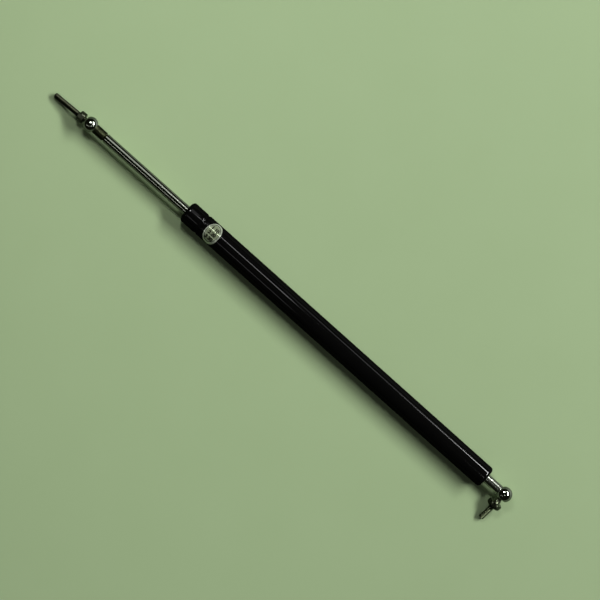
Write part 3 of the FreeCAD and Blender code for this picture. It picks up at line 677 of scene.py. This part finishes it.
# %% [markdown]
# ## Black enamel
#
# The tube is sprayed with glossy black enamel: a deep black under a clear coat, which alone
# carries the gloss. The coat is clearest where the eye looks straight down on it and thins out
# towards the sides, and a faint orange peel ripples it. Dust makes the black uneven, and most
# of it gathers in the bead and dulls the coat there.

# %% Paint the tube
BLACK = (0.0015, 0.0015, 0.0015)
DUSTY_BLACK = (0.003, 0.003, 0.0028)
PEEL_SIZE = 0.0016
PEEL_DEPTH = 0.00001
PEEL_STRENGTH = 0.06
DUST_SIZE = 0.03
DUSTY_BEAD = 0.003
BEAD_GLOSS = 0.3
SIDE_GLOSS = 0.08

enamel = Finish("black_enamel", Metallic=0.0, Specular_IOR_Level=0, Coat_Roughness=0.07)
peel = enamel.noise(enamel.place, PEEL_SIZE, 1.0)
dust = enamel.noise(enamel.place, DUST_SIZE, 4.0, 0.65)
enamel.feed("Base Color", enamel.blend(dust, BLACK, DUSTY_BLACK))
enamel.feed("Roughness", dust.between(0.35, 0.75, 0.08, 0.15))
tilt = enamel.node("LayerWeight", None, {"Blend": 0.5}, "Facing")
bead_middle = tube_start + along_tube * bead_at * MM
from_bead = enamel.node("SeparateXYZ", None, {0: enamel.place}) - bead_middle.x
past_bead = from_bead.math("ABSOLUTE").between(DUSTY_BEAD, 2 * DUSTY_BEAD, BEAD_GLOSS, 1.0)
enamel.feed("Coat Weight", tilt.between(0.1, 0.45, 1.0, SIDE_GLOSS) * past_bead)
enamel.bump(peel, PEEL_DEPTH, PEEL_STRENGTH)
enamel.on(tube)

# %% [markdown]
# ## Bright plating
#
# The rod and the round heads are polished and chromed, so they show their surroundings. Fine
# rings from grinding run round the rod. They are noise that changes fast along the rod and
# hardly at all around it.

# %% Plate the rod and the heads
CHROME = (0.72, 0.78, 0.65)
DULL_SHARE = 0.86
DULL_CHROME = tuple(channel * DULL_SHARE for channel in CHROME)
RING_STRETCH = (1, 0.01, 0.01)
RING_SIZE = 0.00015
CLOUD_SIZE = 0.008


def bright_plating(name, turned, smooth):
    """Chrome with rings that are turned this deep, in metres."""
    plating = Finish(name, Metallic=1.0)
    rings = plating.noise(plating.stretched(RING_STRETCH), RING_SIZE, 2.0, 0.6)
    clouds = plating.noise(plating.place, CLOUD_SIZE, 3.0)
    plating.feed("Base Color", plating.blend(clouds.between(0.45, 0.7), CHROME, DULL_CHROME))
    plating.feed("Roughness", clouds.between(0.3, 0.75, smooth, smooth + 0.07))
    plating.bump(rings, turned)
    return plating


bright_plating("rod_plating", turned=0.000004, smooth=0.05).on(rod)
bright_plating("shank_plating", turned=0.000012, smooth=0.14).on(base_shank)
bright_plating("head_plating", turned=0.0000005, smooth=0.06).on(base_head, rod_head)

# %% [markdown]
# ## Dull olive and zinc
#
# The shank at the rod end is plated too, but left dull and olive brown. The studs are zinc
# plated with cloudy patches. The base stud is a mid grey with a touch of green. The rod stud's
# thread is nearly black, while its hexagon and neck, where the spanner rubs, are paler.

# %% Plate the shank and the studs
OLIVE = (0.036, 0.043, 0.021)
PALE_OLIVE = (0.075, 0.084, 0.042)
RUBBED_REACH = 0.0155
RUBBED_EDGE = 0.0005

olive = Finish("olive_plating", Metallic=1.0)
olive_clouds = olive.noise(olive.place, 0.004, 4.0, 0.6)
olive_rings = olive.noise(olive.stretched((1, 0.02, 0.02)), 0.0005, 2.0)
olive.feed("Base Color", olive.blend(olive_clouds, OLIVE, PALE_OLIVE))
olive.feed("Roughness", olive_clouds.between(0.3, 0.7, 0.28, 0.42))
olive.bump(olive_rings, 0.000006, 0.4)
olive.on(rod_shank)


def zinc_plating(name, low, high, rubbed, smooth, ball):
    """Cloudy plating between two tones, and a third, rubbed tone near the ball."""
    zinc = Finish(name, Metallic=1.0)
    clouds = zinc.noise(zinc.place, 0.003, 4.0, 0.6)
    distance = {"operation": "DISTANCE"}
    from_ball = zinc.node("VectorMath", distance, {0: zinc.place, 1: tuple(ball)}, "Value")
    on_thread = from_ball.between(RUBBED_REACH - RUBBED_EDGE, RUBBED_REACH + RUBBED_EDGE)
    zinc.feed("Base Color", zinc.blend(on_thread, rubbed, zinc.blend(clouds, low, high)))
    zinc.feed("Roughness", clouds.between(0.3, 0.7, smooth, smooth + 0.12))
    zinc.bump(zinc.noise(zinc.place, 0.0004, 2.0), 0.00001, 0.3)
    return zinc


base_zinc = zinc_plating(
    "zinc_plating",
    low=(0.065, 0.08, 0.042),
    high=(0.115, 0.138, 0.076),
    rubbed=(0.11, 0.13, 0.078),
    smooth=0.24,
    ball=base_ball,
)
base_zinc.on(base_stud)
rod_zinc = zinc_plating(
    "dark_zinc_plating",
    low=(0.018, 0.02, 0.012),
    high=(0.042, 0.045, 0.028),
    rubbed=(0.12, 0.135, 0.09),
    smooth=0.26,
    ball=rod_ball,
)
rod_zinc.on(rod_stud)

# %% [markdown]
# ## Foil
#
# The sticker is pale silver foil under a clear film. A pale ring runs round its edge, then a
# thin dark line and a narrow second ring, and the field inside is a little greener. All follow
# an ellipse, which is a circle in coordinates that are squeezed to the sticker's size.

# %% Print the sticker
FIELD = (0.41, 0.49, 0.29)
PALE_FIELD = (0.5, 0.59, 0.37)
RING = (0.77, 0.86, 0.66)
DARK_LINE = (0.03, 0.035, 0.02)
INK = (0.006, 0.007, 0.004)
PALE_INK = (0.016, 0.018, 0.01)
INNER_RING_STRENGTH = 0.7

foil_finish = Finish(
    "silver_foil", Metallic=0.62, Roughness=0.15, Coat_Weight=1.0, Coat_Roughness=0.09
)
to_unit = (2 / STICKER_LENGTH / MM, 2 / STICKER_WIDTH / MM, 0)
oval = foil_finish.stretched(to_unit, tuple(sticker_at))
from_middle = foil_finish.node("VectorMath", {"operation": "LENGTH"}, {0: oval}, "Value")
border = from_middle.between(0.87, 0.89)
line = from_middle.between(0.81, 0.83) * (1 - border)
inner_ring = from_middle.between(0.75, 0.77) * (1 - from_middle.between(0.8, 0.82))
grain = foil_finish.noise(foil_finish.place, 0.0006, 2.0)
field = foil_finish.blend(grain, FIELD, PALE_FIELD)
ringed = foil_finish.blend(border + inner_ring * INNER_RING_STRENGTH, field, RING)
foil_finish.feed("Base Color", foil_finish.blend(line, ringed, DARK_LINE))
foil_finish.on(sticker)

ink_finish = Finish("dark_ink", Metallic=0.0, Specular_IOR_Level=0.1)
ink_spots = ink_finish.noise(ink_finish.place, 0.0005, 2.0)
ink_finish.feed("Base Color", ink_finish.blend(ink_spots, INK, PALE_INK))
ink_finish.feed("Roughness", ink_spots.between(0.3, 0.7, 0.25, 0.4))
ink_finish.on(numbers)

# %% [markdown]
# ## The inner pieces
#
# The pieces inside the tube and the joints don't show while the spring is whole. They keep the
# CAD's exact meshes and get simple finishes with the grain of what they are made of.


# %% Finish the inner pieces
def turned_metal(name, low, high, rough):
    """Metal with faint marks of turning and a tone between two others."""
    metal = Finish(name, Metallic=1.0)
    spots = metal.noise(metal.place, 0.004, 3.0)
    marks = metal.noise(metal.stretched((1, 0.05, 0.05)), 0.0004, 2.0)
    metal.feed("Base Color", metal.blend(spots, low, high))
    metal.feed("Roughness", spots.between(0.3, 0.7, rough, rough + 0.12))
    metal.bump(marks, 0.000008, 0.4)
    return metal


def soft_part(name, low, high, rough):
    """Rubber or plastic with a fine uneven skin."""
    soft = Finish(name, Metallic=0.0)
    spots = soft.noise(soft.place, 0.0015, 3.0)
    soft.feed("Base Color", soft.blend(spots, low, high))
    soft.feed("Roughness", spots.between(0.3, 0.7, rough, rough + 0.15))
    soft.bump(spots, 0.00001, 0.3)
    return soft


steel = turned_metal("turned_steel", (0.36, 0.36, 0.37), (0.5, 0.5, 0.51), 0.28)
aluminium = turned_metal("turned_aluminium", (0.6, 0.6, 0.62), (0.74, 0.74, 0.76), 0.25)
bronze = turned_metal("sintered_bronze", (0.38, 0.25, 0.12), (0.56, 0.4, 0.22), 0.4)
rubber = soft_part("black_rubber", (0.012, 0.012, 0.012), (0.03, 0.03, 0.03), 0.55)
dark_plastic = soft_part("filled_plastic", (0.05, 0.05, 0.05), (0.1, 0.1, 0.1), 0.45)
pale_plastic = soft_part("pale_plastic", (0.7, 0.69, 0.62), (0.82, 0.81, 0.75), 0.4)

INNER_FINISHES = {
    "end_plug": steel,
    "plug_o_ring": rubber,
    "backup_washer": steel,
    "rod_seal": rubber,
    "guide_bush": bronze,
    "rod_wiper": rubber,
    "stop_washer": steel,
    "piston": aluminium,
    "piston_ring": dark_plastic,
    "throttle_disc": steel,
    "piston_nut": steel,
    "base_seat_cup": steel,
    "base_seat_ring": steel,
    "base_liner": pale_plastic,
    "rod_seat_cup": steel,
    "rod_seat_ring": steel,
    "rod_liner": pale_plastic,
}
for node, finish in INNER_FINISHES.items():
    finish.on(frame["nodes"][node])
print(f"{len(INNER_FINISHES)} inner pieces finished")

# %% [markdown]
# ## The camera
#
# The spring lies on a plain pale green table and is seen from straight above. Two pixels say
# where the balls are in the 600 by 600 picture. Their distance gives the scale and their slope
# the turn, so the camera is worked out from them and not found by trial.

# %% Set the camera
PICTURE_SIDE = 600
ROD_BALL_PIXEL = Vector((90.5, 124.4))
BASE_BALL_PIXEL = Vector((504.4, 494.4))
CAMERA_HEIGHT = 3.5

pixel_step = BASE_BALL_PIXEL - ROD_BALL_PIXEL
metres_per_pixel = (rod_ball - base_ball).length / pixel_step.length
picture_turn = math.atan2(pixel_step.y, -pixel_step.x)
picture_right = Vector((math.cos(picture_turn), -math.sin(picture_turn), 0))
picture_up = Vector((math.sin(picture_turn), math.cos(picture_turn), 0))
to_middle = Vector((PICTURE_SIDE / 2, PICTURE_SIDE / 2)) - ROD_BALL_PIXEL
across_picture = picture_right * to_middle.x - picture_up * to_middle.y
picture_middle = rod_ball + across_picture * metres_per_pixel
seen_width = PICTURE_SIDE * metres_per_pixel

camera_data = bpy.data.cameras.new("camera")
camera_data.lens = camera_data.sensor_width * CAMERA_HEIGHT / seen_width
camera = bpy.data.objects.new("camera", camera_data)
camera.location = picture_middle + Vector((0, 0, CAMERA_HEIGHT))
camera.rotation_euler = (0, 0, math.atan2(picture_right.y, picture_right.x))
bpy.context.scene.collection.objects.link(camera)
bpy.context.scene.camera = camera
print(f"camera lens {camera_data.lens:.1f} mm, {metres_per_pixel * 1000:.4f} mm to the pixel")

# %% [markdown]
# ## The table
#
# The paint grows a little deeper towards the right, where the window is nearest: this is painted
# shade that evens out the window's stronger light there. The chrome and the enamel show only a
# thin line of pale table at their edges and a dark room beyond. So glossy rays see the table's own
# colour close to the line from ball to ball and close to both studs, and further away a much
# deeper green, which is painted shade that only reflections show.

# %% Paint the table
TABLE_SIZE = 6
MOTTLE_SIZE = 0.08
LEFT_GREENS = ((0.36, 0.49, 0.253), (0.38, 0.51, 0.272))
SHADED_RIGHT_GREENS = ((0.317, 0.431, 0.223), (0.334, 0.449, 0.239))
REFLECTED_SHADE_GREEN = (0.05, 0.07, 0.035)
SHADE_GRADE_REACH = 0.3
NEAR_TABLE = 0.008
FAR_TABLE = 0.02
ROD_STUD_REACH = 0.045
BASE_STUD_REACH = 0.034

table_bm = bmesh.new()
bmesh.ops.create_grid(table_bm, x_segments=1, y_segments=1, size=TABLE_SIZE)
table_mesh = bpy.data.meshes.new("table")
table_bm.to_mesh(table_mesh)
table_bm.free()
table = bpy.data.objects.new("table", table_mesh)
bpy.context.scene.collection.objects.link(table)

paint = Finish("pale_green_table", Roughness=0.7)
mottle = paint.noise(paint.place, MOTTLE_SIZE, 3.0)
left_green = paint.blend(mottle, *LEFT_GREENS)
shaded_right_green = paint.blend(mottle, *SHADED_RIGHT_GREENS)
place_and_right = {0: paint.place, 1: tuple(picture_right)}
rightward = paint.node("VectorMath", {"operation": "DOT_PRODUCT"}, place_and_right, 1)
from_centre = rightward - picture_middle.dot(picture_right)
# Painted shade: the table is painted darker towards the right, where the window lights it more.
painted_shade_grade = from_centre.between(-SHADE_GRADE_REACH, SHADE_GRADE_REACH)
pale_green = paint.blend(painted_shade_grade, left_green, shaded_right_green)
on_spring = paint.stretched((1, 1, 1), tuple((rod_ball + base_ball) / 2))
along = paint.node("SeparateXYZ", None, {0: on_spring}, 0)
across = paint.node("SeparateXYZ", None, {0: on_spring}, 1)
half_length = (rod_ball - base_ball).length / 2
beyond = (along - half_length - ROD_STUD_REACH).math("MAXIMUM", -1 * along - half_length)
beyond = beyond.math("MAXIMUM", 0)
from_axis = (beyond * beyond + across * across).math("SQRT")
past_stud = (across - BASE_STUD_REACH).math("MAXIMUM", -1 * across).math("MAXIMUM", 0)
beside_stud = along + half_length
from_stud = (past_stud * past_stud + beside_stud * beside_stud).math("SQRT")
away = from_axis.math("MINIMUM", from_stud)
# Painted shade in reflections: glossy rays see the table as a deep green away from the spring.
reflected_shade = paint.node("LightPath", output="Is Glossy Ray") * away.between(NEAR_TABLE, FAR_TABLE)
paint.feed("Base Color", paint.blend(reflected_shade, pale_green, REFLECTED_SHADE_GREEN))
paint.on(table)

# %% [markdown]
# ## The light
#
# Polished metal and gloss paint show the lamps themselves, so the lamps are placed by what the
# photograph shows in them. All hang flat. The window is a long soft panel high beyond the base
# end: it does most of the lighting and throws the long soft shadow. A small panel past the rod
# end gives about a fifth of the light, softens that shadow beside the rod and is the small
# second spot in both round heads. The rest hardly light anything: they are what the gloss shows.
# A wide dim glow lies on the rod, strips draw the thin lines on the two halves of the tube and
# on the base shank, a weak strip on the far side draws a fainter line, and two spots are the
# smallest glints. The room itself is dark, and darker still in reflections, as behind a lit
# table.
#
# Each row of the list is a lamp: its name, the two ends of its middle line, its width, its
# radiance and its height. Places are along and across the tube from the picture's middle.

# %% Light the scene
LAMP_HEIGHT = 1.5
WINDOW_HEIGHT = 3.05
LAMPS = (
    ("window", (3.15, -1.95), (1.25, -4.7), 1.2, 34, WINDOW_HEIGHT),
    ("rod_end_panel", (-0.86, -0.66), (-0.5, -0.66), 0.36, 20, LAMP_HEIGHT),
    ("rod_glow", (-0.42, -1.2), (-0.21, -1.2), 1.3, 0.4, LAMP_HEIGHT),
    ("tube_strip", (-0.21, -0.83), (0.0, -0.83), 0.13, 5.5, LAMP_HEIGHT),
    ("middle_strip", (0.0, -2.72), (0.26, -2.65), 0.46, 1.1, LAMP_HEIGHT),
    ("base_strip", (0.26, -2.65), (0.45, -2.5), 0.68, 1.45, LAMP_HEIGHT),
    ("shank_strip", (0.465, -2.2), (0.57, -2.08), 0.42, 6.5, LAMP_HEIGHT),
    ("far_strip", (-0.42, 1.05), (0.0, 1.05), 0.12, 1.1, LAMP_HEIGHT),
    ("far_spot", (-1.16, 1.6), (-0.96, 1.6), 0.2, 4.5, LAMP_HEIGHT),
    ("base_spot", (0.47, 0.26), (0.64, 0.26), 0.14, 5, LAMP_HEIGHT),
)
ROOM_STRENGTH = 0.03
ROOM_TONE = (1.0, 0.92, 0.97, 1)
REFLECTED_ROOM_STRENGTH = 0.005
REFLECTED_ROOM_TONE = (0.9, 1.0, 0.6, 1)


def lamp(name, start, end, wide, radiance, height):
    """A flat rectangular lamp whose middle line runs from start to end, in metres."""
    start, end = (picture_middle + Vector((-along, across, 0)) for along, across in (start, end))
    data = bpy.data.lights.new(name, "AREA")
    data.shape = "RECTANGLE"
    data.size = (end - start).length
    data.size_y = wide
    data.energy = radiance * math.pi * data.size * wide
    made = bpy.data.objects.new(name, data)
    made.location = (start + end) / 2
    made.location.z = height
    made.rotation_euler = (0, 0, math.atan2(end.y - start.y, end.x - start.x))
    made.visible_camera = False
    bpy.context.scene.collection.objects.link(made)
    print(f"{name}: {data.energy:.1f} W")


for row in LAMPS:
    lamp(*row)

world = bpy.data.worlds.new("room")
world.use_nodes = True
room = world.node_tree
in_reflection = room.nodes.new("ShaderNodeLightPath").outputs["Is Glossy Ray"]
strength = room.nodes.new("ShaderNodeMapRange")
strength.inputs["To Min"].default_value = ROOM_STRENGTH
strength.inputs["To Max"].default_value = REFLECTED_ROOM_STRENGTH
room.links.new(in_reflection, strength.inputs["Value"])
room.links.new(strength.outputs["Result"], room.nodes["Background"].inputs["Strength"])
tone = room.nodes.new("ShaderNodeMix")
tone.data_type = "RGBA"
tone.inputs[6].default_value = ROOM_TONE
tone.inputs[7].default_value = REFLECTED_ROOM_TONE
room.links.new(in_reflection, tone.inputs["Factor"])
room.links.new(tone.outputs[2], room.nodes["Background"].inputs["Color"])
bpy.context.scene.world = world
bpy.context.scene.view_settings.view_transform = "Standard"

# %% [markdown]
# ## Finish
#

# %% Finish
import json
